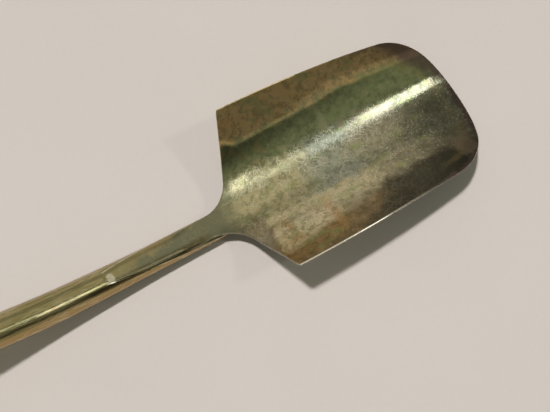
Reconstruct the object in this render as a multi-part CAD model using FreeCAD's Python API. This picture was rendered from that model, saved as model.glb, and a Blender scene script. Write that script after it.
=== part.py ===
"""Bar spoon with a shovel-shaped bowl: five metal pieces, silver-soldered together.

The bowl is pressed from sheet and runs out into a tapering strap.  The strap lies in a long scarf
cut in the top of the stem, with a film of silver solder between them.  The stem is a drawn rod,
half-round under the heel of the bowl and full round behind the strap, cranked upwards so that the
fingers clear the table.  Its far end is a tenon in the boss of a flat muddler disc.

Axes while modelling: X runs along the spoon, with the tip of the bowl at +X and the two square heel
corners on x = 0.  Z is up and z = 0 is the table.  The finished pieces are moved together so that
the origin is the bottom centre of the whole spoon's box.
"""
import FreeCAD, Part
import math
import os

# ---------------------------------------------------------------- driving dimensions, mm
HALF_WIDTH = 14.0            # half the bowl's width, at the heel corners
BOWL_LENGTH = 36.4           # heel corners to the middle of the tip
HEEL_DEPTH = 7.85            # rim above the trough's bottom, at the heel
TIP_DEPTH = 6.45             # the same at the tip, if the section were full width there
TROUGH_ROUNDING = 6.5        # how broad the rounded bottom of the trough is
SIDE_TAPER = 0.0035          # side edges: first and second order closing towards the tip
SIDE_BOW = 0.0019
TIP_RADIUS = 18.0            # curvature of the front edge
CORNER_RADIUS = 8.8          # rounding of the two tip corners
SHEET = 0.8                  # thickness of the bowl's sheet, measured vertically

HEEL_HEIGHT = 2.66           # trough bottom above the table, on the heel line
TROUGH_SLOPE = 0.0211        # the trough falls towards the tip
LIP_DROOP = 0.0033           # and droops a little more over its front half

SHOULDER_FOOT = 5.85         # how far behind the corners the swept shoulders would meet the neck
NECK_HALF = 1.85             # half the width of the strap where it leaves the bowl
SHOULDER_FILLET = 6.5

STRAP_START = -11.0          # the strap is flush with the stem's sides from here
STRAP_END = -27.5
STRAP_END_SHEET = 0.15       # the strap is filed down to this at its end
SOLDER = 0.1                 # silver-solder film under the bowl and strap

OVERALL_LENGTH = 280.0
DISC_RADIUS = 10.0
DISC_THICK = 2.2
DISC_EDGE = 0.7              # rounding of the disc's edges
BOSS_RADIUS = 4.6            # boss behind the disc, coned down to the stem
BOSS_LENGTH = 6.5
TENON_RADIUS = 1.5
TENON_LENGTH = 5.0
BOSS_HOLLOW = (0.32, 0.36)    # the boss's cone is hollow: at this share of its length and of its rise
BOSS_RIM = 0.05              # the boss's end is this much larger than the stem, in radius
RING_HEIGHT = 0.33           # solder fillet round the stem at the boss
RING_LENGTH = 1.21
RING_ROOT = 0.3              # the fillet's section starts this far inside the stem's surface
RING_BOW = (-0.12, -0.08)    # how far the fillet's face is hollow, along and across

DISC_FACE = BOWL_LENGTH - OVERALL_LENGTH
STEM_END = DISC_FACE + DISC_THICK + BOSS_LENGTH

# Stations along the stem: x, centre height, half-width, depth below the centre, rise above it.
STEM = [
    (3.5, 1.95, 0.80, 0.45, 0.60),
    (0.0, 1.80, 1.60, 0.80, 1.00),
    (-4.0, 1.76, 2.05, 1.38, 1.60),
    (-10.0, 1.84, 2.20, 1.82, 2.20),
    (-16.0, 2.16, 2.20, 2.06, 2.20),
    (-22.0, 2.62, 2.25, 2.22, 2.25),
    (-30.0, 3.37, 2.45, 2.45, 2.45),
    (-38.0, 4.62, 2.60, 2.68, 2.68),
    (-46.0, 7.00, 2.68, 2.80, 2.80),
    (-54.0, 9.05, 2.72, 2.78, 2.78),
    (-64.0, DISC_RADIUS, 2.75, 2.75, 2.75),
    (-80.0, DISC_RADIUS, 2.75, 2.75, 2.75),
    (-150.0, DISC_RADIUS, 2.50, 2.50, 2.50),
    (STEM_END, DISC_RADIUS, 2.20, 2.20, 2.20),
]
SECTION_STEP = 4.0           # spacing of the sections that the stem is lofted through
SECTION_POINTS = 16          # points round each section
# Depth of the flat on top of the neck, below the round stem's crown.
FLAT_DEPTH = [(-8.0, 0.98), (-11.0, 0.88), (-16.0, 0.70), (-22.0, 0.38), (STRAP_END, 0.0)]
NECK_START = -8.0            # behind this the top follows the stem's crown, less the flat's depth
TROUGH_FADE = (-3.0, -15.0)  # the trough's section flattens out between these

ROOM = 40.0                  # cutting blocks reach this far past the spoon
MARGIN = 1.5                 # the fitted surfaces reach this far past the bowl's edges
STRAP_MARGIN = 1.0           # the strap's outline is this much wider than the stem, which trims it
GRID = (45, 25)              # points along and across that the fitted surfaces pass through
SLOPE_STEP = 0.05            # for slopes that are taken by difference


def vec(x, y, z):
    return FreeCAD.Vector(x, y, z)


def through(stations, column, x):
    """Smooth (cubic Hermite) value at x of one column of a table that falls in x."""
    points = [(s[0], s[column]) for s in stations]
    if x >= points[0][0]:
        return points[0][1]
    if x <= points[-1][0]:
        return points[-1][1]

    def slope(i):
        a = points[max(i - 1, 0)]
        b = points[min(i + 1, len(points) - 1)]
        return (b[1] - a[1]) / (b[0] - a[0])

    for i in range(len(points) - 1):
        (x0, v0), (x1, v1) = points[i], points[i + 1]
        if x >= x1:
            t = (x - x0) / (x1 - x0)
            span = x1 - x0
            blend = t * t * (3 - 2 * t)
            lean = t * (1 - t) * (1 - t) * slope(i) - t * t * (1 - t) * slope(i + 1)
            return v0 + (v1 - v0) * blend + span * lean
    return points[-1][1]


def ease(t):
    t = min(max(t, 0.0), 1.0)
    return t * t * (3 - 2 * t)


def spread(first, last, count):
    """Evenly spaced values from first to last."""
    return [first + (last - first) * i / (count - 1) for i in range(count)]


# ---------------------------------------------------------------- surfaces of the bowl and strap
def top_line(x):
    """Height of the inner surface on the spoon's centre line."""
    if x <= NECK_START:
        return through(STEM, 1, x) + through(STEM, 4, x) - through(FLAT_DEPTH, 1, x)
    if x >= 0:
        droop = LIP_DROOP * max(x - BOWL_LENGTH / 2, 0) ** 2
        return HEEL_HEIGHT - TROUGH_SLOPE * x - droop
    neck = top_line(NECK_START)
    neck_slope = (top_line(NECK_START - SLOPE_STEP) - neck) / -SLOPE_STEP
    t = -x / -NECK_START
    span = NECK_START
    blend = ease(t)
    lean = t * (1 - t) * (1 - t) * -TROUGH_SLOPE - t * t * (1 - t) * neck_slope
    return HEEL_HEIGHT + (neck - HEEL_HEIGHT) * blend + span * lean


def trough(x, y):
    """Rise of the inner surface beside the centre line: a rounded V whose flanks straighten."""
    depth = HEEL_DEPTH + (TIP_DEPTH - HEEL_DEPTH) * min(max(x / BOWL_LENGTH, 0), 1)
    full = math.sqrt(1 + (HALF_WIDTH / TROUGH_ROUNDING) ** 2) - 1
    rise = math.sqrt(1 + (y / TROUGH_ROUNDING) ** 2) - 1
    fade = 1 - ease((x - TROUGH_FADE[0]) / (TROUGH_FADE[1] - TROUGH_FADE[0]))
    return depth * rise / full * fade


def sheet_at(x):
    t = ease((x - NECK_START) / (STRAP_END - NECK_START))
    return SHEET + (STRAP_END_SHEET - SHEET) * t


def surface(drop):
    """Face over the whole bowl and strap: the inner surface lowered by drop(x)."""
    xs = spread(STRAP_END - MARGIN, BOWL_LENGTH + MARGIN, GRID[0])
    ys = spread(-HALF_WIDTH - MARGIN, HALF_WIDTH + MARGIN, GRID[1])
    grid = [[vec(x, y, top_line(x) + trough(x, y) - drop(x)) for y in ys] for x in xs]
    patch = Part.BSplineSurface()
    patch.interpolate(grid)
    return patch.toShape()


def above(face):
    return face.extrude(vec(0, 0, ROOM))


def below(face):
    return face.extrude(vec(0, 0, -ROOM))


def side_y(x):
    return HALF_WIDTH - SIDE_TAPER * x - SIDE_BOW * x * x


def flip(p):
    return vec(p.x, -p.y, p.z)


def shoulder():
    """Edges from the strap's end to the heel corner, on the +Y side: strap, neck fillet, shoulder."""
    corner = vec(0, HALF_WIDTH, 0)
    foot = vec(-SHOULDER_FOOT, NECK_HALF, 0)
    up = (corner - foot).normalize()
    half_turn = math.acos(-up.x) / 2
    reach = SHOULDER_FILLET / math.tan(half_turn)
    fillet_top = foot + up * reach
    fillet_end = foot + vec(-reach, 0, 0)
    centre = fillet_end + vec(0, SHOULDER_FILLET, 0)
    fillet_mid = centre + (foot - centre).normalize() * SHOULDER_FILLET
    wide = NECK_HALF + STRAP_MARGIN
    path = [vec(STRAP_END, wide, 0), vec(STRAP_START, wide, 0), vec(STRAP_START, NECK_HALF, 0), fillet_end]
    lines = [(path[k], path[k + 1]) for k in range(3)] + [(fillet_top, corner)]
    return lines, [(fillet_end, fillet_mid, fillet_top)]


def tip_corner():
    """The circle that touches the side edge and the front arc: its ends and its middle."""
    front_centre_x = BOWL_LENGTH - TIP_RADIUS
    cx = BOWL_LENGTH - CORNER_RADIUS
    for _ in range(60):          # settles in a few rounds
        slope = SIDE_TAPER + 2 * SIDE_BOW * cx
        cy = side_y(cx) - CORNER_RADIUS * math.sqrt(1 + slope * slope)
        cx = front_centre_x + math.sqrt((TIP_RADIUS - CORNER_RADIUS) ** 2 - cy * cy)
    first = math.pi / 2 - math.atan(SIDE_TAPER + 2 * SIDE_BOW * cx)
    last = math.atan2(cy, cx - front_centre_x)

    def on_corner(a):
        return vec(cx + CORNER_RADIUS * math.cos(a), cy + CORNER_RADIUS * math.sin(a), 0)

    return on_corner(first), on_corner((first + last) / 2), on_corner(last)


def plan_outline():
    """Plan of the bowl with its strap, as a closed wire of arcs, lines and one curve per side."""
    side_end, corner_mid, front_end = tip_corner()
    side = [vec(x, side_y(x), 0) for x in spread(0, side_end.x, 5)[:-1]] + [side_end]
    lines, arcs = shoulder()
    arcs.append((side_end, corner_mid, front_end))
    wide = NECK_HALF + STRAP_MARGIN
    front = Part.Arc(front_end, vec(BOWL_LENGTH, 0, 0), flip(front_end)).toShape()
    edges = [front, Part.makeLine(vec(STRAP_END, -wide, 0), vec(STRAP_END, wide, 0))]
    for place in (lambda p: p, flip):
        curve = Part.BSplineCurve()
        curve.interpolate([place(p) for p in side])
        edges.append(curve.toShape())
        edges += [Part.makeLine(place(a), place(b)) for a, b in lines]
        edges += [Part.Arc(place(a), place(b), place(c)).toShape() for a, b, c in arcs]
    return Part.Wire(Part.__sortEdges__(edges))


# ---------------------------------------------------------------- the stem before it is scarfed
def stem_section(station):
    """Closed curve across the stem: half an ellipse below the widest line and half above it."""
    x, centre, half_width, depth, rise = station
    points = []
    for k in range(SECTION_POINTS):
        a = 2 * math.pi * k / SECTION_POINTS
        reach = rise if math.sin(a) > 0 else depth
        points.append(vec(x, half_width * math.cos(a), centre + reach * math.sin(a)))
    curve = Part.BSplineCurve()
    curve.interpolate(Points=points, PeriodicFlag=True)
    return Part.Wire([curve.toShape()])


def whole_stem():
    """Loft through evenly spaced sections, read smoothly from the stations."""
    start = STEM[0][0]
    count = round((start - STEM_END) / SECTION_STEP)
    sections = []
    for k in range(count + 1):
        x = start + (STEM_END - start) * k / count
        sections.append(stem_section([x] + [through(STEM, column, x) for column in (1, 2, 3, 4)]))
    return Part.makeLoft(sections, True, False)


# ---------------------------------------------------------------- pieces
def block(x0, x1):
    """Everything between two planes across the spoon."""
    return Part.makeBox(x1 - x0, 2 * ROOM, 2 * ROOM, vec(x0, -ROOM, -ROOM))


def make_bowl(envelope, inner, outer):
    """Pressed sheet: the plan outline between the two surfaces, its strap trimmed to the stem's sides."""
    plan = Part.Face(plan_outline()).extrude(vec(0, 0, ROOM))
    plan.translate(vec(0, 0, -ROOM / 2))
    sheet = plan.cut(above(inner)).cut(below(outer))
    front = sheet.common(block(STRAP_START, BOWL_LENGTH + MARGIN))
    strap = sheet.common(block(STRAP_END, STRAP_START)).common(envelope)
    return front.fuse(strap).removeSplitter()


def make_solder(envelope, outer, bed):
    """The film of solder between the sheet's underside and the stem's scarf."""
    reach = block(STRAP_END, BOWL_LENGTH)
    return envelope.common(reach).cut(above(outer)).cut(below(bed))


def make_stem(envelope, bed):
    """Rod with the scarf cut away on top, and the tenon that the muddler disc sits on."""
    scarf = above(bed).common(block(STRAP_END, BOWL_LENGTH))
    rod = envelope.cut(scarf)
    foot = vec(STEM_END, 0, DISC_RADIUS)
    tenon = Part.makeCylinder(TENON_RADIUS, TENON_LENGTH, foot, vec(-1, 0, 0))
    return rod.fuse(tenon).removeSplitter()


def make_muddler_disc():
    """Turned piece: flat disc with rounded edges, coned boss and the blind bore for the tenon."""
    r, t, e = DISC_RADIUS, DISC_THICK, DISC_EDGE
    k = e * (1 - math.sqrt(0.5))    # a rounded edge's middle is this far inside its corner
    stem_r = STEM[-1][2]

    def at(x, radius):
        return vec(DISC_FACE + x, 0, DISC_RADIUS + radius)

    end = t + BOSS_LENGTH
    bottom = end - TENON_LENGTH
    cone_foot = at(t, BOSS_RADIUS)
    cone_mid = at(t + BOSS_LENGTH * BOSS_HOLLOW[0], stem_r + (BOSS_RADIUS - stem_r) * BOSS_HOLLOW[1])
    cone_top = at(end, stem_r + BOSS_RIM)
    profile = [
        Part.makeLine(at(0, 0), at(0, r - e)),
        Part.Arc(at(0, r - e), at(k, r - k), at(e, r)).toShape(),
        Part.makeLine(at(e, r), at(t - e, r)),
        Part.Arc(at(t - e, r), at(t - k, r - k), at(t, r - e)).toShape(),
        Part.makeLine(at(t, r - e), cone_foot),
        Part.Arc(cone_foot, cone_mid, cone_top).toShape(),
        Part.makeLine(cone_top, at(end, TENON_RADIUS)),
        Part.makeLine(at(end, TENON_RADIUS), at(bottom, TENON_RADIUS)),
        Part.makeLine(at(bottom, TENON_RADIUS), at(bottom, 0)),
        Part.makeLine(at(bottom, 0), at(0, 0)),
    ]
    face = Part.Face(Part.Wire(profile))
    return face.revolve(vec(0, 0, DISC_RADIUS), vec(1, 0, 0), 360)


def make_disc_solder(envelope):
    """Concave solder fillet round the stem where it stands on the boss."""
    stem_r = STEM[-1][2]

    def at(x, radius):
        return vec(STEM_END + x, 0, DISC_RADIUS + radius)

    root, top = at(0, stem_r - RING_ROOT), at(0, stem_r + RING_HEIGHT)
    toe, back = at(RING_LENGTH, stem_r), at(RING_LENGTH, stem_r - RING_ROOT)
    bow = (top + toe) * 0.5 + vec(RING_BOW[0], 0, RING_BOW[1])
    edges = [Part.makeLine(a, b) for a, b in ((root, top), (toe, back), (back, root))]
    edges.append(Part.Arc(top, bow, toe).toShape())
    section = Part.Face(Part.Wire(Part.__sortEdges__(edges)))
    ring = section.revolve(vec(0, 0, DISC_RADIUS), vec(1, 0, 0), 360)
    return ring.cut(envelope)


def main():
    envelope = whole_stem()
    inner = surface(lambda x: 0.0)
    outer = surface(sheet_at)
    bed = surface(lambda x: sheet_at(x) + SOLDER)
    pieces = {
        "bowl": make_bowl(envelope, inner, outer),
        "stem": make_stem(envelope, bed),
        "scarf_solder": make_solder(envelope, outer, bed),
        "muddler_disc": make_muddler_disc(),
        "disc_solder": make_disc_solder(envelope),
    }
    box = FreeCAD.BoundBox()
    for shape in pieces.values():
        box.add(shape.optimalBoundingBox(False, False))
    move = vec(-(box.XMin + box.XMax) / 2, -(box.YMin + box.YMax) / 2, -box.ZMin)
    os.makedirs("parts", exist_ok=True)
    for name, shape in pieces.items():
        shape.translate(move)
        solid = shape.Solids[0]
        b = solid.BoundBox
        print(name, len(shape.Solids), "solid", round(solid.Volume, 2), "mm3, valid", solid.isValid(),
              [round(v, 2) for v in (b.XMin, b.XMax, b.YMin, b.YMax, b.ZMin, b.ZMax)])
        solid.exportStep("parts/" + name + ".step")
    print("moved by", move, "size", box.XLength, box.YLength, box.ZLength)


main()
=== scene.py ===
"""Bar spoon, seen from above its neck on a plain pale floor.

The five pieces are built again as fine meshes from the dimensions of the CAD pieces, in
millimetres along the spoon, with x = 0 on the line through the bowl's two heel corners.
"""
import math
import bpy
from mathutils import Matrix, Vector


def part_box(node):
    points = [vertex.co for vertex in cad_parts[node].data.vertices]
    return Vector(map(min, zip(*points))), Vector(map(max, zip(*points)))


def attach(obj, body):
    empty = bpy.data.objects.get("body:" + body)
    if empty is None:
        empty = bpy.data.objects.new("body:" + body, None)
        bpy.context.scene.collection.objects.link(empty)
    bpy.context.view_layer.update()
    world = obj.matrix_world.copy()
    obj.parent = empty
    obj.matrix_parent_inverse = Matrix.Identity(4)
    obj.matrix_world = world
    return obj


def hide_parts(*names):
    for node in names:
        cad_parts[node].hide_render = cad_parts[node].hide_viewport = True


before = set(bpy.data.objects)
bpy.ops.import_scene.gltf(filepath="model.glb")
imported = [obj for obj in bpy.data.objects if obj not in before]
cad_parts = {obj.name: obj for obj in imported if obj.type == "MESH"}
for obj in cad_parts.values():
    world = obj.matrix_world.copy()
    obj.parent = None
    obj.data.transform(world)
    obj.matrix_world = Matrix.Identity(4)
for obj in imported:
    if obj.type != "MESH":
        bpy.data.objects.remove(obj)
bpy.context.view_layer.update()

from types import SimpleNamespace

import bpy
import numpy as np
from mathutils import Matrix, Vector

MM = 0.001

# ---------------------------------------------------------------- dimensions, mm
HALF_WIDTH = 14.0
BOWL_LENGTH = 36.4
HEEL_DEPTH = 7.85
TIP_DEPTH = 6.45
TROUGH_ROUNDING = 6.5
SIDE_TAPER = 0.0035
SIDE_BOW = 0.0019
TIP_RADIUS = 18.0
CORNER_RADIUS = 8.8
SHEET = 0.8
HEEL_HEIGHT = 2.66
TROUGH_SLOPE = 0.0211
LIP_DROOP = 0.0033
SHOULDER_FOOT = 5.85
NECK_HALF = 1.85
SHOULDER_FILLET = 6.5
STRAP_START = -11.0
STRAP_END = -27.5
STRAP_END_SHEET = 0.15
SOLDER = 0.1
DISC_RADIUS = 10.0
DISC_THICK = 2.2
DISC_EDGE = 0.7
BOSS_RADIUS = 4.6
BOSS_LENGTH = 6.5
TENON_RADIUS = 1.5
TENON_LENGTH = 5.0
RING_HEIGHT = 0.33
RING_LENGTH = 1.21
NECK_START = -8.0
TROUGH_FADE = (-3.0, -15.0)

HEEL_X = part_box("bowl")[1].x / MM - BOWL_LENGTH          # where the heel line stands in the frame
DISC_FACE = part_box("muddler_disc")[0].x / MM - HEEL_X
STEM_END = DISC_FACE + DISC_THICK + BOSS_LENGTH

# x, centre height, half-width, depth below the centre, rise above it
STEM = [
    (3.5, 1.95, 0.80, 0.45, 0.60),
    (0.0, 1.80, 1.60, 0.80, 1.00),
    (-4.0, 1.76, 2.05, 1.38, 1.60),
    (-10.0, 1.84, 2.20, 1.82, 2.20),
    (-16.0, 2.16, 2.20, 2.06, 2.20),
    (-22.0, 2.62, 2.25, 2.22, 2.25),
    (-30.0, 3.37, 2.45, 2.45, 2.45),
    (-38.0, 4.62, 2.60, 2.68, 2.68),
    (-46.0, 7.00, 2.68, 2.80, 2.80),
    (-54.0, 9.05, 2.72, 2.78, 2.78),
    (-64.0, DISC_RADIUS, 2.75, 2.75, 2.75),
    (-80.0, DISC_RADIUS, 2.75, 2.75, 2.75),
    (-150.0, DISC_RADIUS, 2.50, 2.50, 2.50),
    (STEM_END, DISC_RADIUS, 2.20, 2.20, 2.20),
]
FLAT_DEPTH = [(-8.0, 0.98), (-11.0, 0.88), (-16.0, 0.70), (-22.0, 0.38), (STRAP_END, 0.0)]

# Mesh detail, and the wear that rounds the sheet's edges.
COLUMNS = 64
ROW_STEP = 0.4
ROUND_POINTS = 72
LATHE_POINTS = 144
BOWL_EDGE = 0.17
STRAP_EDGE = 0.07
STRAP_GAP = 0.03
FILED_FROM = 0.35
FILED_SHARE = 0.5
# Share of the edge's width and share of the sheet's thickness, round the edge from top to bottom.
EDGE_PROFILE = [
    (0.45, 0.03),
    (0.80, 0.11),
    (1.0, 0.28),
    (1.0, 0.50),
    (1.0, 0.72),
    (0.80, 0.89),
    (0.45, 0.97),
]
SLOPE_STEP = 0.05
LEAST_HALF = 0.05
FILED_RUN = 5.0
NECK_DENSITY = 1.2
HEEL_INSET = 0.63
CONE_HOLLOW = 2.4
FILLET_HOLLOW = 1.8


# ---------------------------------------------------------------- the spoon's form
def ease(t):
    t = min(max(t, 0.0), 1.0)
    return t * t * (3 - 2 * t)


def through(stations, column, x):
    """Smooth (cubic Hermite) value at x of one column of a table that falls in x."""
    points = [(s[0], s[column]) for s in stations]
    if x >= points[0][0]:
        return points[0][1]

    def slope(i):
        a = points[max(i - 1, 0)]
        b = points[min(i + 1, len(points) - 1)]
        return (b[1] - a[1]) / (b[0] - a[0])

    for i in range(len(points) - 1):
        (x0, v0), (x1, v1) = points[i], points[i + 1]
        if x >= x1:
            t = (x - x0) / (x1 - x0)
            lean = t * (1 - t) * (1 - t) * slope(i) - t * t * (1 - t) * slope(i + 1)
            return v0 + (v1 - v0) * ease(t) + (x1 - x0) * lean
    return points[-1][1]


def top_line(x):
    """Height of the inner surface on the centre line."""
    if x <= NECK_START:
        return through(STEM, 1, x) + through(STEM, 4, x) - through(FLAT_DEPTH, 1, x)
    if x >= 0:
        droop = LIP_DROOP * max(x - BOWL_LENGTH / 2, 0) ** 2
        return HEEL_HEIGHT - TROUGH_SLOPE * x - droop
    neck = top_line(NECK_START)
    neck_slope = (neck - top_line(NECK_START - SLOPE_STEP)) / SLOPE_STEP
    t = x / NECK_START
    lean = t * (1 - t) * (1 - t) * -TROUGH_SLOPE - t * t * (1 - t) * neck_slope
    return HEEL_HEIGHT + (neck - HEEL_HEIGHT) * ease(t) + NECK_START * lean


def trough(x, y):
    """Rise of the inner surface beside the centre line: a rounded V whose flanks straighten."""
    depth = HEEL_DEPTH + (TIP_DEPTH - HEEL_DEPTH) * min(max(x / BOWL_LENGTH, -0.2), 1)
    full = math.sqrt(1 + (HALF_WIDTH / TROUGH_ROUNDING) ** 2) - 1
    rise = math.sqrt(1 + (y / TROUGH_ROUNDING) ** 2) - 1
    fade = 1 - ease((x - TROUGH_FADE[0]) / (TROUGH_FADE[1] - TROUGH_FADE[0]))
    return depth * rise / full * fade


def inner(x, y):
    return top_line(x) + trough(x, y)


def sheet_at(x):
    t = ease((x - NECK_START) / (STRAP_END - NECK_START))
    return SHEET + (STRAP_END_SHEET - SHEET) * t


def stem_half(x, z):
    """Half-width of the uncut stem at height z."""
    centre, half_width, depth, rise = (through(STEM, column, x) for column in (1, 2, 3, 4))
    reach = rise if z > centre else depth
    return half_width * math.sqrt(max(1 - ((z - centre) / reach) ** 2, 0.0))


def side_y(x):
    return HALF_WIDTH - SIDE_TAPER * x - SIDE_BOW * x * x


def arc(centre, radius, first, last, count):
    turns = np.linspace(first, last, count)
    return np.stack([centre[0] + radius * np.cos(turns), centre[1] + radius * np.sin(turns)], -1)


def shoulder_curve():
    """Plan of the bowl's back edge on the +Y side, from the neck to the heel corner."""
    corner, foot = np.array([0.0, HALF_WIDTH]), np.array([-SHOULDER_FOOT, NECK_HALF])
    up = (corner - foot) / np.linalg.norm(corner - foot)
    half_turn = math.acos(-up[0]) / 2
    reach = SHOULDER_FILLET / math.tan(half_turn)
    start = foot - [reach, 0]
    centre = start + [0, SHOULDER_FILLET]
    sweep = math.pi - 2 * half_turn
    fillet = arc(centre, SHOULDER_FILLET, -math.pi / 2, -math.pi / 2 + sweep, 60)
    return np.vstack([[2 * STRAP_END, NECK_HALF], fillet, corner])


def tip_corner():
    """Centre of the +Y tip corner, which touches the bowed side and the front curve."""
    front_centre = BOWL_LENGTH - TIP_RADIUS
    cx = BOWL_LENGTH - CORNER_RADIUS
    for _ in range(60):
        slope = SIDE_TAPER + 2 * SIDE_BOW * cx
        cy = side_y(cx) - CORNER_RADIUS * math.sqrt(1 + slope * slope)
        cx = front_centre + math.sqrt((TIP_RADIUS - CORNER_RADIUS) ** 2 - cy * cy)
    return cx, cy


def tip_curves(inset):
    """Plan of the +Y side from the heel to the middle of its tip corner, and the front from there to the
    middle of the tip, both moved inwards."""
    front_centre = BOWL_LENGTH - TIP_RADIUS
    cx, cy = tip_corner()
    lean, out = math.atan(SIDE_TAPER + 2 * SIDE_BOW * cx), math.atan2(cy, cx - front_centre)
    middle = (math.pi / 2 - lean + out) / 2
    xs = np.linspace(inset, cx + CORNER_RADIUS * math.sin(lean), 80)
    side = np.stack([xs, [side_y(x) - inset for x in xs]], -1)
    radius = CORNER_RADIUS - inset
    side = np.vstack([side[:-1], arc((cx, cy), radius, math.pi / 2 - lean, middle, 40)])
    front = np.vstack([
        arc((cx, cy), radius, middle, out, 40)[:-1],
        arc((front_centre, 0), TIP_RADIUS - inset, out, 0, 60),
    ])
    return side, front


def resample(curve, count):
    """The curve again, with evenly spaced points."""
    lengths = np.concatenate([[0], np.cumsum(np.linalg.norm(np.diff(curve, axis=0), axis=1))])
    wanted = np.linspace(0, lengths[-1], count)
    return np.stack([np.interp(wanted, lengths, curve[:, k]) for k in range(2)], -1)


# ---------------------------------------------------------------- mesh helpers
def add_mesh(name, points, faces, sharp=35):
    """A mesh object from points in millimetres along the spoon."""
    mesh = bpy.data.meshes.new(name)
    moved = np.asarray(points, float) + [HEEL_X, 0, 0]
    mesh.from_pydata((moved * MM).tolist(), [], faces)
    mesh.validate()
    mesh.shade_smooth()
    mesh.set_sharp_from_angle(angle=math.radians(sharp))
    piece = bpy.data.objects.new(name, mesh)
    bpy.context.scene.collection.objects.link(piece)
    return piece


def grid_faces(index, flip=False):
    """Quads over a grid of point numbers."""
    faces = []
    for a, b in zip(index[:-1], index[1:]):
        for k in range(len(a) - 1):
            quad = [a[k], b[k], b[k + 1], a[k + 1]]
            faces.append(quad[::-1] if flip else quad)
    return faces


def band_faces(first, second):
    """Quads between two closed loops of point numbers."""
    count = len(first)
    return [[first[k], first[(k + 1) % count], second[(k + 1) % count], second[k]] for k in range(count)]


def tube(rings):
    """Points and faces of a closed tube through the rings, capped at both ends."""
    count = len(rings[0])
    loops = [list(range(r * count, (r + 1) * count)) for r in range(len(rings))]
    faces = [face for a, b in zip(loops[:-1], loops[1:]) for face in band_faces(a, b)]
    return np.vstack(rings), faces + [loops[0][::-1], loops[-1]]


def rim(rows, columns):
    """Point numbers round the edge of a grid, in order."""
    index = np.arange(rows * columns).reshape(rows, columns)
    return np.concatenate([index[:-1, 0], index[-1, :-1], index[:0:-1, -1], index[0, :0:-1]]).tolist()


# ---------------------------------------------------------------- the bowl
def neck_half(x, z, shoulder):
    """Half-width of the sheet at height z: the pressed outline, running into the stem's sides."""
    outline = np.interp(x, shoulder[:, 0], shoulder[:, 1])
    strap = ease((STRAP_START + 0.5 - x) / 2)
    return outline + (stem_half(x, z) - outline) * strap


def neck_rows(shoulder, out, down):
    """Rows of points across the strap and the shoulders, at a share of the edge and of the thickness."""
    rows = []
    rows_needed = round(-STRAP_END / ROW_STEP * NECK_DENSITY)
    for x in np.linspace(STRAP_END + STRAP_GAP, BOWL_EDGE * HEEL_INSET, rows_needed):
        ahead, behind = (neck_half(x + step, inner(x, 0), shoulder) for step in (SLOPE_STEP, -SLOPE_STEP))
        slope = (ahead - behind) / (2 * SLOPE_STEP)
        steep = math.sqrt(1 + slope ** 2) if x > STRAP_START - 2 else 1.0
        edge = STRAP_EDGE + (BOWL_EDGE - STRAP_EDGE) * ease((x - STRAP_START) / 4)
        width = neck_half(x, inner(x, 0) - down * sheet_at(x), shoulder) - edge * (1 - out) * steep
        width = max(width, LEAST_HALF)
        rows.append(np.stack([np.full(COLUMNS + 1, x), np.linspace(width, -width, COLUMNS + 1)], -1))
    return rows


def blade_rows(out):
    """Rows of points over the bowl: straight at the heel, bowed like the front edge at the tip."""
    side, front = tip_curves(BOWL_EDGE * (1 - out))
    count = round(BOWL_LENGTH / ROW_STEP)
    side = resample(side, count + 1)
    half = resample(front, COLUMNS // 2 + 1)
    front = np.vstack([half, half[-2::-1] * [1, -1]])
    across = np.linspace(1, -1, COLUMNS + 1)[:, None]
    rows = []
    for k in range(1, count + 1):
        s = k / count
        left, right = side[k], side[k] * [1, -1]
        back = np.hstack([np.full_like(across, side[0][0]), across * side[0][1]])
        ruled = (1 - s) * back + s * front
        chord = (left * (1 + across) + right * (1 - across)) / 2
        corners = ((1 - s) * side[0] + s * side[-1]) * (1 + across) / 2
        corners = corners + ((1 - s) * side[0] + s * side[-1]) * [1, -1] * (1 - across) / 2
        rows.append(ruled + chord - corners)
    return rows


def filed(x, y, shoulder):
    """How far the strap's top is filed down towards its long edges."""
    if x > STRAP_START:
        return 0.0
    beyond = abs(y) / neck_half(x, inner(x, 0), shoulder) - FILED_FROM
    share = ease((STRAP_START - x) / FILED_RUN) * max(beyond / (1 - FILED_FROM), 0.0) ** 2
    return min(share, 1.0) * FILED_SHARE * sheet_at(x)


def bowl_points(shoulder, out, down):
    plan = np.array(neck_rows(shoulder, out, down) + blade_rows(out))
    shape = plan.shape[:2]
    flat = plan.reshape(-1, 2)
    heights = [inner(x, y) - down * sheet_at(x) - (1 - down) * filed(x, y, shoulder) for x, y in flat]
    return np.hstack([flat, np.array(heights)[:, None]]), shape


def make_bowl():
    """Pressed sheet with a rounded, worn edge all round, thinning to nothing along the strap."""
    shoulder = shoulder_curve()
    top, shape = bowl_points(shoulder, 0, 0)
    bottom, _ = bowl_points(shoulder, 0, 1)
    count = len(top)
    edge = rim(*shape)
    index = np.arange(count).reshape(shape)
    points = [top, bottom]
    faces = grid_faces(index) + grid_faces(index + count, flip=True)
    loops = [edge]
    for out, down in EDGE_PROFILE:
        ring, _ = bowl_points(shoulder, out, down)
        start = 2 * count + (len(loops) - 1) * len(edge)
        points.append(ring[edge])
        loops.append(list(range(start, start + len(edge))))
    loops.append([k + count for k in edge])
    for a, b in zip(loops[:-1], loops[1:]):
        faces += band_faces(a, b)
    return add_mesh("bowl_sheet", np.vstack(points), faces)


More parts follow.
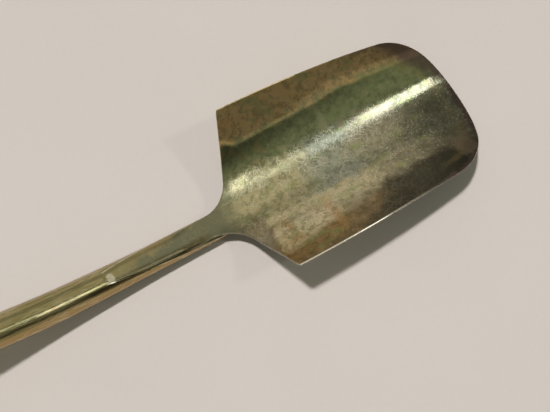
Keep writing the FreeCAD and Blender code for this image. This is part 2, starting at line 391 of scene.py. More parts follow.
# ---------------------------------------------------------------- stem and solder
def make_stem():
    """Drawn rod, cut away on top where the bowl's strap is soldered on, with its tenon."""
    turns = np.linspace(0, 2 * math.pi, ROUND_POINTS, endpoint=False)
    rings = []
    under = np.linspace(STEM[0][0], STRAP_END + STRAP_GAP / 2, 60)
    behind = np.linspace(STRAP_END, STEM_END, 300)
    for x in [*under, *behind]:
        centre, half_width, depth, rise = (through(STEM, column, x) for column in (1, 2, 3, 4))
        ys = half_width * np.cos(turns)
        zs = centre + np.where(np.sin(turns) > 0, rise, depth) * np.sin(turns)
        if x > STRAP_END:
            bed = [inner(x, y) - sheet_at(x) - SOLDER for y in ys]
            zs = np.minimum(zs, bed)
        rings.append(np.stack([np.full_like(ys, x), ys, zs], -1))
    for x, radius in ((STEM_END, TENON_RADIUS), (STEM_END - TENON_LENGTH, TENON_RADIUS)):
        rings.append(turned_ring(x, radius, ROUND_POINTS))
    points, faces = tube(rings)
    return add_mesh("stem_rod", points, faces)


def make_scarf_film():
    """The silver-solder film between the sheet's underside and the stem."""
    across = np.linspace(1, -1, 17)
    layers = []
    xs = np.linspace(STEM[0][0] - 0.1, STRAP_END + STRAP_GAP, 60)
    for lower in (0.0, SOLDER):
        rows = []
        for x in xs:
            drop = sheet_at(x) + lower
            half = max(stem_half(x, inner(x, 0) - drop), LEAST_HALF)
            rows.append([[x, half * v, inner(x, half * v) - drop] for v in across])
        layers.append(np.array(rows))
    shape = layers[0].shape[:2]
    count = shape[0] * shape[1]
    index = np.arange(count).reshape(shape)
    edge = rim(*shape)
    faces = grid_faces(index, flip=True) + grid_faces(index + count)
    faces += band_faces([k + count for k in edge], edge)
    return add_mesh("scarf_film", np.vstack([layer.reshape(-1, 3) for layer in layers]), faces)


# ---------------------------------------------------------------- the muddler end
def turned_ring(x, radius, count):
    """A ring of points round the stem's axis."""
    turns = np.linspace(0, 2 * math.pi, count, endpoint=False)
    ys, zs = radius * np.cos(turns), DISC_RADIUS + radius * np.sin(turns)
    return np.stack([np.full_like(turns, x), ys, zs], -1)


def lathe(profile):
    """Rings of a turned piece from its (x, radius) points."""
    return [turned_ring(x, radius, LATHE_POINTS) for x, radius in profile]


def make_disc():
    """Flat disc with rounded edges on a hollow-coned boss, bored for the tenon."""
    stem_r = STEM[-1][2]
    quarter = np.linspace(0, math.pi / 2, 8)
    rim_front = []
    for a in quarter:
        rim_front.append((DISC_EDGE * (1 - math.cos(a)), DISC_RADIUS - DISC_EDGE * (1 - math.sin(a))))
    rim_back = [(DISC_THICK - x, r) for x, r in reversed(rim_front)]
    face = [(0.0, DISC_RADIUS * s) for s in (0.03, 0.2, 0.4, 0.6, 0.75, 0.88)]
    back = [(DISC_THICK, r) for r in np.linspace(DISC_RADIUS - DISC_EDGE - 0.6, BOSS_RADIUS + 0.5, 6)]
    cone = []
    for t in np.linspace(0, 1, 16):
        fall = (1 - t) ** CONE_HOLLOW
        cone.append((DISC_THICK + BOSS_LENGTH * t, stem_r + 0.05 + (BOSS_RADIUS - stem_r) * fall))
    end = DISC_THICK + BOSS_LENGTH
    floor = end - TENON_LENGTH
    bore = [(end, TENON_RADIUS), (floor, TENON_RADIUS), (floor, TENON_RADIUS * 0.1)]
    profile = [(DISC_FACE + x, r) for x, r in face + rim_front + rim_back + back + cone + bore]
    points, faces = tube(lathe(profile))
    return add_mesh("disc_turned", points, [f[::-1] for f in faces])


def make_disc_fillet():
    """Hollow fillet of silver solder where the stem enters the boss."""
    stem_r = STEM[-1][2]
    profile = []
    for t in np.linspace(0, 1, 9):
        profile.append((STEM_END + RING_LENGTH * t, stem_r + RING_HEIGHT * (1 - t) ** FILLET_HOLLOW * 0.98))
    profile += [(STEM_END + RING_LENGTH, stem_r - 0.2), (STEM_END, stem_r - 0.2)]
    rings = lathe(profile)
    count = LATHE_POINTS
    loops = [list(range(r * count, (r + 1) * count)) for r in range(len(rings))]
    faces = []
    for k in range(len(loops)):
        faces += band_faces(loops[k], loops[(k + 1) % len(loops)])
    return add_mesh("disc_fillet", np.vstack(rings), faces)


# ---------------------------------------------------------------- materials
def new_tree(name):
    material = bpy.data.materials.new(name)
    material.use_nodes = True
    return material, material.node_tree, material.node_tree.nodes["Principled BSDF"]


def add_node(tree, kind, settings=None, **inputs):
    """A node with its settings, and inputs that are numbers, colours or sockets."""
    node = tree.nodes.new(kind)
    for name, value in (settings or {}).items():
        setattr(node, name, value)
    for name, value in inputs.items():
        socket = node.inputs[name.replace("_", " ")]
        if isinstance(value, bpy.types.NodeSocket):
            tree.links.new(value, socket)
        else:
            socket.default_value = value
    return node


def calc(tree, operation, *values, clamp=False):
    """Result of a Math node."""
    node = tree.nodes.new("ShaderNodeMath")
    node.operation = operation
    node.use_clamp = clamp
    for socket, value in zip(node.inputs, values):
        if isinstance(value, bpy.types.NodeSocket):
            tree.links.new(value, socket)
        else:
            socket.default_value = value
    return node.outputs[0]


def product(tree, first, *others):
    """All the values multiplied together."""
    for value in others:
        first = calc(tree, "MULTIPLY", first, value)
    return first


def window(tree, value, low, high):
    """0 at low, 1 at high, smooth between, and level beyond them."""
    node = add_node(tree, "ShaderNodeMapRange", {"interpolation_type": "SMOOTHSTEP"}, Value=value)
    node.inputs["From Min"].default_value = low
    node.inputs["From Max"].default_value = high
    return node.outputs[0]


def band(tree, value, low, high, soft):
    """1 between low and high, 0 outside, each side as wide as soft."""
    return product(tree, window(tree, value, low, low + soft), window(tree, value, high, high - soft))


def noise(tree, place, scale, detail=3.0, rough=0.5, warp=0.0):
    node = add_node(tree, "ShaderNodeTexNoise", Vector=place, Scale=scale, Detail=detail,
                    Roughness=rough, Distortion=warp)
    return node.outputs["Fac"]


def mix(tree, amount, first, second):
    node = tree.nodes.new("ShaderNodeMix")
    node.data_type = "RGBA"
    for socket, value in ((node.inputs[0], amount), (node.inputs[6], first), (node.inputs[7], second)):
        if isinstance(value, bpy.types.NodeSocket):
            tree.links.new(value, socket)
        else:
            socket.default_value = value if isinstance(value, float) else (*value, 1)
    return node.outputs[2]


def tint(tree, colour, amount, share, target):
    """The colour moved towards target by a share of the amount."""
    return mix(tree, calc(tree, "MULTIPLY", amount, share), colour, target)


def mapping(tree, vector, **settings):
    """Result of a Mapping node."""
    return add_node(tree, "ShaderNodeMapping", Vector=vector, **settings).outputs[0]


def length(tree, vector):
    """Result of a Vector Math node that measures the vector."""
    node = add_node(tree, "ShaderNodeVectorMath", {"operation": "LENGTH"}, Vector=vector)
    return node.outputs["Value"]


def place_mm(tree):
    """Position in millimetres along the spoon, heel line at x = 0."""
    where = add_node(tree, "ShaderNodeTexCoord").outputs["Object"]
    return mapping(tree, where, Scale=(1 / MM,) * 3, Location=(-HEEL_X, 0, 0))


def stretch(tree, place, angle, along, across, shift=0.0):
    """The position turned about Z and scaled differently along and across that direction."""
    turned = mapping(tree, place, Rotation=(0, 0, math.radians(angle)), Location=(shift, shift * 1.7, 0))
    return mapping(tree, turned, Scale=(along, across, 0.3))


def scratches(tree, place, angles, length, width, rarity):
    """Fine straight scratches in several directions, each fading out along its length. 0 to 1."""
    total = None
    for k, angle in enumerate(angles):
        streak = noise(tree, stretch(tree, place, angle, 1 / length, 1 / width, 7.3 * k + 1), 1.0, 0.0)
        line = window(tree, streak, rarity, rarity + 0.10)
        total = line if total is None else calc(tree, "MAXIMUM", total, line)
    return total


def wander(tree, value, cloud, reach):
    """The value moved by up to half of reach each way, so that a boundary on it runs unevenly."""
    return calc(tree, "MULTIPLY_ADD", calc(tree, "SUBTRACT", cloud, 0.5), reach, value)


def past(tree, value, limit):
    """How far the value is past the limit, or 0."""
    return calc(tree, "MAXIMUM", calc(tree, "SUBTRACT", value, limit), 0.0)


def from_rim(tree, x, side):
    """Distance in from the bowl's bowed sides, its front curve and the tip corners between them."""
    cx, cy = tip_corner()
    front_centre = BOWL_LENGTH - TIP_RADIUS
    bowed = calc(tree, "MULTIPLY_ADD", calc(tree, "MULTIPLY", x, x), SIDE_BOW, side)
    bowed = calc(tree, "MULTIPLY_ADD", x, SIDE_TAPER, bowed)
    beside = calc(tree, "SUBTRACT", HALF_WIDTH, bowed)
    reach = add_node(tree, "ShaderNodeCombineXYZ", X=past(tree, x, front_centre), Y=side)
    front = calc(tree, "SUBTRACT", TIP_RADIUS, length(tree, reach.outputs[0]))
    reach = add_node(tree, "ShaderNodeCombineXYZ", X=past(tree, x, cx), Y=past(tree, side, cy))
    corner = calc(tree, "SUBTRACT", CORNER_RADIUS, length(tree, reach.outputs[0]))
    beyond = calc(tree, "MULTIPLY_ADD", side, cx - front_centre, cy * front_centre)
    beyond = calc(tree, "MULTIPLY_ADD", x, -cy, beyond)
    sector = product(tree, calc(tree, "GREATER_THAN", x, cx), calc(tree, "GREATER_THAN", beyond, 0.0))
    corner = calc(tree, "MULTIPLY_ADD", calc(tree, "SUBTRACT", 1.0, sector), HALF_WIDTH, corner)
    return calc(tree, "MINIMUM", calc(tree, "MINIMUM", front, beside), corner)


def spot(tree, place, patch, centre, size):
    """A small uneven spot. 0 to 1."""
    scale = (1 / size[0], 1 / size[1], 0.0)
    shifted = mapping(tree, place, Location=(-centre[0] / size[0], -centre[1] / size[1], 0), Scale=scale)
    return window(tree, wander(tree, length(tree, shifted), patch, 2.0), 1.2, 0.6)


# Colours of the worn metal, linear.
HEEL_TAN = (0.60, 0.53, 0.31)
CORNER_TAN = (0.40, 0.31, 0.21)
PALE_PAINTED_REFLECTION = (0.96, 0.93, 0.84)
NEAR_WALL_DARK_BROWN = (0.19, 0.175, 0.13)
DARK_MOTTLE = (0.16, 0.16, 0.085)
LIGHT_MOTTLE = (0.66, 0.54, 0.34)
BLOT_GREEN = (0.34, 0.375, 0.175)
COPPER = (0.60, 0.36, 0.155)
DARK_PAINTED_REFLECTION = (0.055, 0.052, 0.036)
WIPED = (0.52, 0.49, 0.31)
RUST = (0.58, 0.33, 0.13)
PLUM = (0.17, 0.115, 0.105)
GOLD = (0.48, 0.38, 0.16)
NEAR_SHOULDER_DARK = (0.19, 0.150, 0.09)
NECK_OLIVE = (0.235, 0.235, 0.155)
PAINTED_CREST_REFLECTION = (0.43, 0.345, 0.17)
STRAP_BRASS = (0.385, 0.335, 0.165)
STRAP_SHADE = (0.13, 0.105, 0.05)
SCRATCH = (0.88, 0.84, 0.64)
SPARKLE = (0.88, 0.84, 0.68)
RUBBED_AND_SHEEN = (0.74, 0.70, 0.58)
BARE_SOLDER = (0.68, 0.64, 0.48)

# Where each colour takes over, mm: from, fully by, colour.
ALONG_ZONES = [
    (6.0, 11.0, (0.43, 0.445, 0.36)),
    (15.5, 20.5, (0.43, 0.385, 0.28)),
    (23.5, 29.5, (0.27, 0.265, 0.185)),
]
# Across the walls, by distance from the centre line: a green band past the highlight, then painted
# reflections: a paler band high on the far wall and a paler near wall.
ACROSS_TONES_AND_REFLECTIONS = [
    (4.2, 6.2, (0.33, 0.355, 0.19)),
    (8.9, 10.0, (0.62, 0.465, 0.225)),
    (-3.2, -4.4, (0.54, 0.485, 0.32)),
]
SLANTED_ZONES = [
    (-9.2, -11.8, (0.35, 0.245, 0.13)),
    (-12.8, -15.5, (0.19, 0.145, 0.08)),
]
ZONE_SLANT = -0.13
CREST_SLANT = -0.16
SCRATCH_ANGLES = (6, 34, 62, 95, 121, 152)
SPOT_CENTRE = (STRAP_END + 1.0, -0.55)
SPOT_SIZE = (0.55, 0.85)


def bowl_fields(tree):
    """Position on the bowl in millimetres, and the noises that its wear is made of."""
    place = place_mm(tree)
    x, y, _ = add_node(tree, "ShaderNodeSeparateXYZ", Vector=place).outputs
    cloud = noise(tree, place, 0.13, 2, 0.5, 0.5)
    patch = noise(tree, place, 0.45, 5, 0.62, 0.3)
    side = calc(tree, "ABSOLUTE", y)
    return SimpleNamespace(
        tree=tree, place=place, x=x, y=y, side=side, cloud=cloud, patch=patch,
        grain=noise(tree, place, 2.2, 5, 0.7),
        along=wander(tree, wander(tree, x, cloud, 12.0), patch, 8.0),
        across=wander(tree, y, patch, 4.5),
        rim=from_rim(tree, x, side),
    )


def bowl_zones(f, painted_pale_patch):
    """Broad colours: tan and grey down the trough, green up the far flank, brown on both walls, paler
    painted reflections high on the far wall and down the near wall, a pale painted patch on the near wall's
    heel half, and darker brown down the near wall towards the tip.
    """
    tree = f.tree
    colour = HEEL_TAN
    for low, high, target in ALONG_ZONES:
        colour = mix(tree, window(tree, f.along, low, high), colour, target)
    for low, high, target in ACROSS_TONES_AND_REFLECTIONS:
        colour = mix(tree, window(tree, f.across, low, high), colour, target)
    # a pale painted reflection patch on the near wall's heel half
    colour = mix(tree, painted_pale_patch, colour, PALE_PAINTED_REFLECTION)
    slanted = calc(tree, "MULTIPLY_ADD", f.x, ZONE_SLANT, f.across)
    for low, high, target in SLANTED_ZONES:
        colour = mix(tree, window(tree, slanted, low, high), colour, target)
    # darker brown down the near wall towards the tip
    near_wall_darkening = product(tree, window(tree, f.across, -3.0, -4.5), window(tree, f.along, 16.0, 23.0))
    return tint(tree, colour, near_wall_darkening, 0.85, NEAR_WALL_DARK_BROWN)


def bowl_patches(f, colour):
    """Mottling, green blots, copper on the walls, a near-black painted reflection on the near wall, a wipe
    and a rust streak.
    """
    tree = f.tree
    mottle = noise(tree, f.place, 0.95, 4, 0.65, 0.4)
    colour = tint(tree, colour, window(tree, mottle, 0.54, 0.38), 0.50, DARK_MOTTLE)
    colour = tint(tree, colour, window(tree, mottle, 0.54, 0.68), 0.30, LIGHT_MOTTLE)
    blot = noise(tree, stretch(tree, f.place, 8, 0.30, 0.55, 3.0), 1.0, 4, 0.6)
    colour = tint(tree, colour, window(tree, blot, 0.52, 0.66), 0.65, BLOT_GREEN)
    copper = window(tree, noise(tree, f.place, 0.20, 4, 0.6, 0.7), 0.58, 0.72)
    colour = tint(tree, colour, product(tree, copper, window(tree, f.side, 3.0, 7.0)), 0.6, COPPER)
    # painted shade: a near-black painted reflection on the near wall, 10 to 18.5 mm along
    painted_dark_patch = product(tree, window(tree, f.across, -6.0, -8.6), window(tree, f.along, 10.0, 18.5))
    colour = tint(tree, colour, painted_dark_patch, 0.94, DARK_PAINTED_REFLECTION)
    wipe = band(tree, wander(tree, f.x, f.patch, 2.0), 13.4, 15.4, 0.8)
    colour = tint(tree, colour, product(tree, wipe, band(tree, f.y, 3.5, 10.0, 1.6)), 0.6, WIPED)
    rust = band(tree, wander(tree, f.x, f.patch, 3.0), 7.6, 10.0, 1.1)
    return tint(tree, colour, product(tree, rust, band(tree, f.y, -12.5, -4.0, 1.5)), 0.4, RUST)


def bowl_tip(f, colour):
    """Plum on the far tip corner and along the front, gold inside it, tan in the near corner."""
    tree = f.tree
    uneven = wander(tree, wander(tree, f.rim, f.patch, 2.4), f.cloud, 3.0)
    plum = product(tree, window(tree, uneven, 3.4, 0.8), window(tree, f.x, 24.0, 31.0),
                   window(tree, wander(tree, f.y, f.patch, 4.0), 3.0, 7.5))
    front = product(tree, window(tree, uneven, 1.0, 0.3), window(tree, f.x, 20.0, 28.0))
    colour = tint(tree, colour, calc(tree, "MAXIMUM", plum, front), 0.85, PLUM)
    gold = product(tree, band(tree, uneven, 1.6, 3.6, 0.8), window(tree, f.x, 25.0, 30.0))
    colour = tint(tree, colour, gold, 0.22, GOLD)
    return tint(tree, colour, spot(tree, f.place, f.patch, (32.0, -8.0), (2.2, 2.4)), 0.6, CORNER_TAN)


def bowl_neck(f, colour):
    """Darker brown on the near shoulder, an olive neck with a painted reflection in brown along the strap's
    far side, brass towards the strap's end, and painted shade along the strap's near edge.
    """
    tree = f.tree
    # darker brown on the near shoulder, behind the heel line
    heel = window(tree, wander(tree, f.x, f.patch, 2.0), -0.4, -1.8)
    colour = tint(tree, colour, product(tree, heel, window(tree, f.across, -1.5, -3.5)), 0.8, NEAR_SHOULDER_DARK)
    colour = mix(tree, window(tree, wander(tree, f.x, f.patch, 4.0), -2.0, -8.0), colour, NECK_OLIVE)
    # painted reflection: a brown band painted along the strap's far side, as a rounded top would reflect
    # the room
    painted_crest_band = window(tree, calc(tree, "MULTIPLY_ADD", f.x, CREST_SLANT, f.across), 3.0, 4.6)
    colour = tint(tree, colour, product(tree, painted_crest_band, window(tree, f.x, -9.0, -13.0)), 0.9, PAINTED_CREST_REFLECTION)
    colour = mix(tree, window(tree, f.x, -20.0, -26.5), colour, STRAP_BRASS)
    # painted shade: a dark reflection painted along the strap's near edge
    shade = product(tree, window(tree, f.y, -0.55, -1.25), band(tree, f.x, STRAP_END - 2, -9.0, 2.5))
    return tint(tree, colour, shade, 0.85, STRAP_SHADE)


def bowl_marks(f, heart):
    """Scratches in the scoured trough, fewer towards the tip and on the neck. 0 to 1."""
    tree = f.tree
    everywhere = scratches(tree, f.place, SCRATCH_ANGLES, 2.1, 0.22, 0.66)
    on_neck = calc(tree, "MULTIPLY_ADD", window(tree, f.x, -7.0, 2.0), 0.85, 0.15)
    in_heart = calc(tree, "MULTIPLY_ADD", heart, 0.85, 0.10)
    return product(tree, everywhere, in_heart, window(tree, f.x, 31.0, 15.0), on_neck)


def bowl_wear(f, colour, heart, marks):
    """Pale scratches, specks painted as sparkle, the near rim paled by wear and by a painted highlight, and
    solder showing at the strap's end.
    """
    tree = f.tree
    colour = tint(tree, colour, marks, 0.65, SCRATCH)
    # pale specks painted as sparkle in the trough
    specks = window(tree, noise(tree, f.place, 3.0, 2, 0.6), 0.56, 0.66)
    in_heart = calc(tree, "MULTIPLY_ADD", heart, 0.95, 0.05)
    specks = product(tree, specks, window(tree, f.x, -6.0, 1.0), in_heart)
    colour = tint(tree, colour, specks, 0.6, SPARKLE)
    # the near rim paled, partly wear and partly a painted highlight along the edge
    rubbed_and_sheen = window(tree, wander(tree, f.rim, f.grain, 0.2), 0.30, 0.16)
    rubbed_and_sheen = product(tree, rubbed_and_sheen, window(tree, f.y, 9.0, -6.0), window(tree, f.x, 30.0, 13.0))
    colour = tint(tree, colour, rubbed_and_sheen, 0.7, RUBBED_AND_SHEEN)
    return mix(tree, spot(tree, f.place, f.patch, SPOT_CENTRE, SPOT_SIZE), colour, BARE_SOLDER)


def bowl_roughness(f, heart, painted_pale_patch, marks):
    """Smooth walls, a duller scoured trough, and duller scratches."""
    tree = f.tree
    scoured = product(tree, window(tree, f.y, 6.5, 2.5), window(tree, f.y, -4.4, -3.0),
                      window(tree, f.x, 36.0, 18.0))
    dullness = calc(tree, "MULTIPLY_ADD", f.grain, 0.05, 0.13)
    rough = calc(tree, "MULTIPLY_ADD", scoured, dullness, 0.04)
    rough = calc(tree, "MULTIPLY_ADD", heart, 0.03, rough)
    rough = calc(tree, "MULTIPLY_ADD", painted_pale_patch, 0.13, rough)
    return calc(tree, "MULTIPLY_ADD", marks, 0.22, rough, clamp=True)


def make_bowl_metal():
    """Worn plate on brass."""
    material, tree, shader = new_tree("bowl_metal_worn")
    f = bowl_fields(tree)
    heart = product(tree, window(tree, f.y, 6.5, 3.0), window(tree, f.y, -9.0, -3.0),
                    window(tree, f.patch, 0.34, 0.60))
    # where the pale painted reflection patch goes: the near wall's heel half
    painted_pale_patch = product(tree, window(tree, f.across, -5.0, -7.0), window(tree, f.along, 15.0, 8.0))
    marks = bowl_marks(f, heart)
    colour = bowl_patches(f, bowl_zones(f, painted_pale_patch))
    colour = bowl_neck(f, bowl_tip(f, colour))
    tree.links.new(bowl_wear(f, colour, heart, marks), shader.inputs["Base Color"])
    tree.links.new(bowl_roughness(f, heart, painted_pale_patch, marks), shader.inputs["Roughness"])
    relief = calc(tree, "MULTIPLY_ADD", marks, -0.8, calc(tree, "MULTIPLY", f.grain, 0.6))
    relief = product(tree, relief, calc(tree, "MULTIPLY_ADD", heart, 0.95, 0.05))
    bump = add_node(tree, "ShaderNodeBump", Height=relief, Strength=0.35, Distance=0.00004)
    tree.links.new(bump.outputs[0], shader.inputs["Normal"])
    shader.inputs["Metallic"].default_value = METALLIC
    return material


# Colours of the stem, linear, and how metallic every worn metal here is.
ROD_PAINTED_UNDERSIDE_REFLECTION = (0.385, 0.26, 0.105)
ROD_COPPER = (0.44, 0.25, 0.11)
ROD_SCRATCH = (0.78, 0.72, 0.50)
ROD_PAINTED_DARK_LINE = (0.11, 0.085, 0.04)
METALLIC = 0.97


def make_stem_metal(name, base, edge, scratch_angle=0.0):
    """Handled metal: brass or solder above, with tan to copper painted on the faces turned down as the warm
    floor's reflection, a painted dark line on the near side under the strap, and fine scratches at
    scratch_angle.
    """
    material, tree, shader = new_tree(name)
    place = place_mm(tree)
    cloud = noise(tree, place, 0.16, 3, 0.55, 0.8)
    patch = noise(tree, place, 0.7, 4, 0.6)
    grain = noise(tree, place, 3.0, 4, 0.6)
    facing = add_node(tree, "ShaderNodeTexCoord").outputs["Normal"]
    _, _, up = add_node(tree, "ShaderNodeSeparateXYZ", Vector=facing).outputs
    colour = mix(tree, window(tree, cloud, 0.36, 0.64), base, edge)
    # painted reflection: faces turned down tinted tan to copper, as the warm floor reflects in them
    colour = tint(tree, colour, window(tree, wander(tree, up, patch, 0.5), 0.75, 0.35), 0.85, ROD_PAINTED_UNDERSIDE_REFLECTION)
    colour = tint(tree, colour, window(tree, patch, 0.57, 0.70), 0.6, ROD_COPPER)
    marks = scratches(tree, place, (scratch_angle, scratch_angle + 7, scratch_angle - 12), 2.6, 0.16, 0.66)
    colour = tint(tree, colour, marks, 0.25, ROD_SCRATCH)
    x, y, _ = add_node(tree, "ShaderNodeSeparateXYZ", Vector=place).outputs
    # painted shade: a dark reflection painted as a line along the stem's near side under the strap
    painted_dark_line = product(tree, band(tree, y, -1.90, -1.2, 0.12), band(tree, x, STRAP_END - 6, -9.0, 4.0))
    colour = tint(tree, colour, painted_dark_line, 0.85, ROD_PAINTED_DARK_LINE)
    colour = mix(tree, spot(tree, place, patch, SPOT_CENTRE, SPOT_SIZE), colour, BARE_SOLDER)
    tree.links.new(colour, shader.inputs["Base Color"])
    rough = calc(tree, "MULTIPLY_ADD", patch, 0.06, 0.06)
    rough = calc(tree, "MULTIPLY_ADD", marks, 0.12, rough, clamp=True)
    tree.links.new(rough, shader.inputs["Roughness"])
    relief = calc(tree, "MULTIPLY_ADD", marks, -0.6, calc(tree, "MULTIPLY", grain, 0.4))
    bump = add_node(tree, "ShaderNodeBump", Height=relief, Strength=0.15, Distance=0.00003)
    tree.links.new(bump.outputs[0], shader.inputs["Normal"])
    shader.inputs["Metallic"].default_value = METALLIC
    return material


def make_floor_material():
    """Pale warm card with a faint fibre."""
    material, tree, shader = new_tree("pale_card")
    place = place_mm(tree)
    cloud = noise(tree, place, 0.02, 3, 0.6)
    fibre = noise(tree, place, 1.2, 5, 0.65, 0.5)
    tint = calc(tree, "MULTIPLY_ADD", fibre, 0.35, calc(tree, "MULTIPLY", cloud, 0.65))
    colour = mix(tree, tint, (0.56, 0.52, 0.515), (0.64, 0.60, 0.60))
    tree.links.new(colour, shader.inputs["Base Color"])
    bump = add_node(tree, "ShaderNodeBump", Height=fibre, Strength=0.25, Distance=0.00006)
    tree.links.new(bump.outputs[0], shader.inputs["Normal"])
    shader.inputs["Roughness"].default_value = 0.75
    shader.inputs["Specular IOR Level"].default_value = 0.25
    return material


# ---------------------------------------------------------------- stage
FLOOR_SIZE = 4.0
FLOOR_DROP = 0.00002
KEY_TOWARD = (-0.015, 0.203, 0.979)
KEY_COLOUR = (1.0, 0.955, 0.90)
SIDE_TOWARD = (0.66, -0.30, 0.70)
SIDE_COLOUR = (1.0, 1.0, 0.78)
BOX_COLOUR = (0.95, 1.0, 1.04)
BOX_HEIGHT = 260.0
# name, radiance, start and end along the spoon, place across it, height
BOXES = [
    ("box_on_stem", 2.1, -16, 18, -127, 72),
    ("box_on_heel", 0.95, 18, 92, -101, 44),
    ("box_on_tip", 3.6, 92, 200, -112, 42),
]
BOX_AIM = (20.0, 0.0, 3.0)
CAMERA_DISTANCE = 0.12757
CAMERA_ELEVATION = 73.0
CAMERA_AZIMUTH = -98.45
CAMERA_ROLL = -20.06
CAMERA_TARGET = (1.41, -1.14)
CAMERA_LENS = 51.43


def make_floor():
    half = FLOOR_SIZE / 2
    mesh = bpy.data.meshes.new("floor")
    corners = [(-half, -half), (half, -half), (half, half), (-half, half)]
    mesh.from_pydata([(x, y, -FLOOR_DROP) for x, y in corners], [], [(0, 1, 2, 3)])
    floor = bpy.data.objects.new("floor", mesh)
    bpy.context.scene.collection.objects.link(floor)
    floor.data.materials.append(make_floor_material())


def reflected_room(tree):
    """The room that the metal reflects, by its lean: the angle from overhead, positive behind the spoon."""
    toward = add_node(tree, "ShaderNodeTexCoord").outputs["Generated"]
    x, y, z = add_node(tree, "ShaderNodeSeparateXYZ", Vector=toward).outputs
    lean = calc(tree, "MULTIPLY", calc(tree, "ARCTAN2", y, z), math.degrees(1))

    # dark low in front, paler overhead and palest a little behind
    room = mix(tree, window(tree, lean, -48.5, -38.0), (0.070, 0.070, 0.050), (0.30, 0.31, 0.24))
    room = mix(tree, window(tree, lean, -24.0, -8.0), room, (0.36, 0.345, 0.285))
    room = mix(tree, band(tree, lean, -16.0, 38.0, 14.0), room, (0.58, 0.55, 0.45))

    # pale wall behind, its top edge slanted, and darker at its foot
    behind = calc(tree, "MULTIPLY_ADD", x, 23.0, lean)
    room = mix(tree, window(tree, behind, 62.6, 63.4), room, (0.62, 0.57, 0.47))
    room = mix(tree, window(tree, lean, 80.0, 89.0), room, (0.33, 0.29, 0.225))
    dim = product(tree, window(tree, x, 0.28, 0.46), window(tree, lean, -20.0, -2.0))
    room = mix(tree, dim, room, (0.17, 0.165, 0.145))

    # panel in front, its top edge slanted, with a pale strip and a bright line along that edge
    front = calc(tree, "MULTIPLY_ADD", x, -29.0, lean)
    front = calc(tree, "MULTIPLY_ADD", past(tree, x, 0.22), 12.0, front)
    right = window(tree, x, -0.12, -0.04)
    panel = product(tree, band(tree, front, -57.5, -51.6, 0.4), right)
    room = mix(tree, panel, room, (0.178, 0.160, 0.126))
    strip = product(tree, band(tree, front, -53.1, -51.7, 0.4), window(tree, x, 0.17, 0.22))
    room = mix(tree, strip, room, (0.36, 0.33, 0.275))
    line = product(tree, band(tree, front, -52.1, -51.1, 0.3), right)
    room = mix(tree, line, room, (0.45, 0.40, 0.31))

    # warm and paler down at the horizon in front
    horizon = product(tree, window(tree, z, 0.40, 0.22), window(tree, y, -0.30, -0.50))
    return mix(tree, horizon, room, (0.42, 0.37, 0.27))


def make_world():
    """The painted room for the metal, a soft fill for the floor, and a pale backdrop for the camera."""
    world = bpy.data.worlds.new("surroundings")
    bpy.context.scene.world = world
    world.use_nodes = True
    tree = world.node_tree
    reflected = add_node(tree, "ShaderNodeBackground", Color=reflected_room(tree))
    fill = tree.nodes["Background"]
    fill.inputs["Color"].default_value = (0.178, 0.186, 0.146, 1)
    pale = add_node(tree, "ShaderNodeBackground", Color=(0.50, 0.47, 0.43, 1))
    ray = add_node(tree, "ShaderNodeLightPath").outputs
    shown = fill
    for kind, background in (("Is Glossy Ray", reflected), ("Is Camera Ray", pale)):
        blend = tree.nodes.new("ShaderNodeMixShader")
        tree.links.new(ray[kind], blend.inputs[0])
        tree.links.new(shown.outputs[0], blend.inputs[1])
        tree.links.new(background.outputs[0], blend.inputs[2])
        shown = blend
    tree.links.new(shown.outputs[0], tree.nodes["World Output"].inputs["Surface"])


def add_light(name, kind, energy, colour, toward, place=None, **settings):
    """A light that shines from the direction toward, its long side level with the spoon."""
    data = bpy.data.lights.new(name, kind)
    data.energy = energy
    data.color = colour
    for key, value in settings.items():
        setattr(data, key, value)
    lamp = bpy.data.objects.new(name, data)
    bpy.context.scene.collection.objects.link(lamp)
    back = Vector(toward).normalized()
    along = (Vector((1, 0, 0)) - back * back.x).normalized()
    lamp.matrix_world = Matrix((along, back.cross(along), back)).transposed().to_4x4()
    if place is not None:
        lamp.location = place
    return lamp


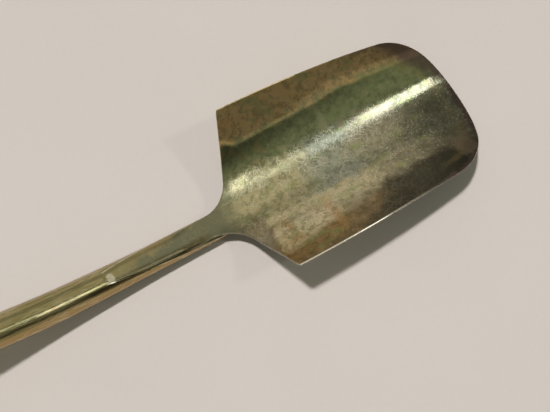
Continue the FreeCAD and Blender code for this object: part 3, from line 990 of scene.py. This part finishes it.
def make_lights():
    """A key light overhead and a weaker side light for the floor, and a row of soft boxes in front that
    shows only in the metal."""
    key = add_light("key_on_floor", "SUN", 2.62, KEY_COLOUR, KEY_TOWARD, angle=math.radians(5))
    side = add_light("side_on_floor", "SUN", 0.30, SIDE_COLOUR, SIDE_TOWARD, angle=math.radians(4))
    aim = (Vector(BOX_AIM) + Vector((HEEL_X, 0, 0))) * MM
    boxes = []
    for name, radiance, start, end, y, high in BOXES:
        place = Vector((HEEL_X + (start + end) / 2, y, BOX_HEIGHT)) * MM
        wide, tall = (end - start) * MM, high * MM
        power = radiance * math.pi * wide * tall
        toward = (place - aim) * Vector((0, 1, 1))
        boxes.append(add_light(name, "AREA", power, BOX_COLOUR, toward, place,
                               shape="RECTANGLE", size=wide, size_y=tall))
    for lamp in (key, side):
        lamp.visible_glossy = False
    for lamp in boxes:
        lamp.visible_diffuse = False


def make_camera():
    """Looks down on the neck from beside the stem, rolled so that the spoon runs up to the right."""
    elevation, azimuth, roll = map(math.radians, (CAMERA_ELEVATION, CAMERA_AZIMUTH, CAMERA_ROLL))
    target = Vector((HEEL_X + CAMERA_TARGET[0], CAMERA_TARGET[1], 0)) * MM
    back = Vector((math.cos(elevation) * math.cos(azimuth), math.cos(elevation) * math.sin(azimuth),
                   math.sin(elevation)))
    right = Vector((0, 0, 1)).cross(back).normalized()
    up = back.cross(right)
    turned_right = right * math.cos(roll) + up * math.sin(roll)
    turned_up = up * math.cos(roll) - right * math.sin(roll)
    data = bpy.data.cameras.new("camera")
    data.lens = CAMERA_LENS
    data.sensor_width = 36.0
    data.clip_start = 0.005
    camera = bpy.data.objects.new("camera", data)
    bpy.context.scene.collection.objects.link(camera)
    turn = Matrix((turned_right, turned_up, back)).transposed().to_4x4()
    camera.matrix_world = Matrix.Translation(target + back * CAMERA_DISTANCE) @ turn
    bpy.context.scene.camera = camera


def stand_for(piece, node, material):
    """The piece takes a CAD node's place, on the spoon's one body."""
    piece.data.materials.append(material)
    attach(piece, "root")
    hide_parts(node)


def main():
    rod = make_stem_metal("stem_metal_worn", (0.34, 0.30, 0.14), (0.43, 0.365, 0.20))
    solder = make_stem_metal("solder_worn", (0.50, 0.48, 0.36), (0.60, 0.57, 0.44))
    turned = make_stem_metal("disc_metal_worn", (0.44, 0.40, 0.22), (0.56, 0.51, 0.32), 90.0)
    stand_for(make_bowl(), "bowl", make_bowl_metal())
    stand_for(make_stem(), "stem", rod)
    stand_for(make_scarf_film(), "scarf_solder", solder)
    stand_for(make_disc(), "muddler_disc", turned)
    stand_for(make_disc_fillet(), "disc_solder", solder)
    make_floor()
    make_world()
    make_lights()
    make_camera()
    bpy.context.scene.view_settings.view_transform = "Standard"


main()
